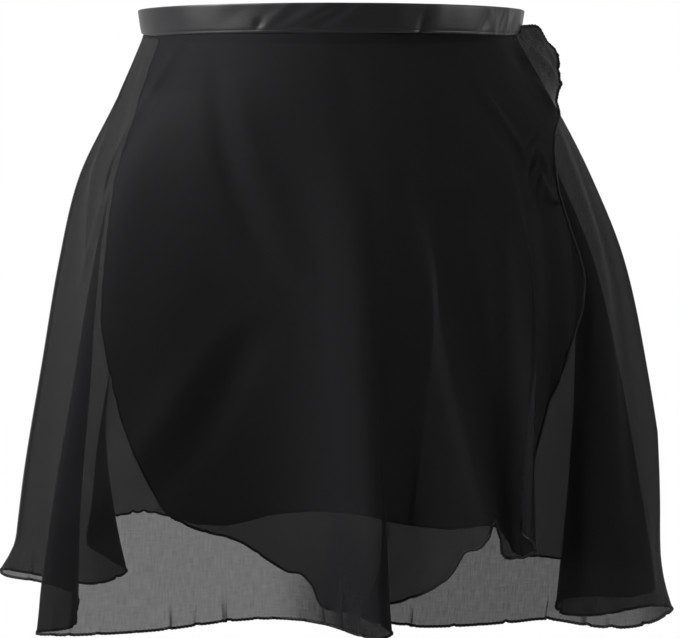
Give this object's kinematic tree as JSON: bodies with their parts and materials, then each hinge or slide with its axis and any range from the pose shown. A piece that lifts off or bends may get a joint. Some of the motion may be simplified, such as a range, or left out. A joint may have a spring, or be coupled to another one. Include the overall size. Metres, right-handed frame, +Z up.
{
  "type": "ballet wrap skirt",
  "caption": "Short sheer wrap skirt with curved overlapping fronts, fluted sides and back, rolled hems and a satin ribbon waist tied at the back.",
  "frame": {"origin": "middle of the waist opening at half the height of the ribbon waist, where the wearer's waist holds the skirt", "axes": "+Z up, -Y to the wearer's front, +X to the right of the front view"},
  "size_m": [0.43, 0.3184, 0.3648],
  "materials": {
    "chiffon": "sheer black polyester chiffon, matt with a faint crepe grain",
    "ribbon": "black satin ribbon with a soft directional sheen"
  },
  "bodies": {
    "root": {"under_wrap": "chiffon", "back_panel": "chiffon", "over_wrap": "chiffon", "waist_ribbon_under": "ribbon", "waist_ribbon_back": "ribbon", "waist_ribbon_over": "ribbon", "tie_over": "ribbon", "tie_under": "ribbon", "tie_knot": "ribbon"}
  },
  "joints": []
}
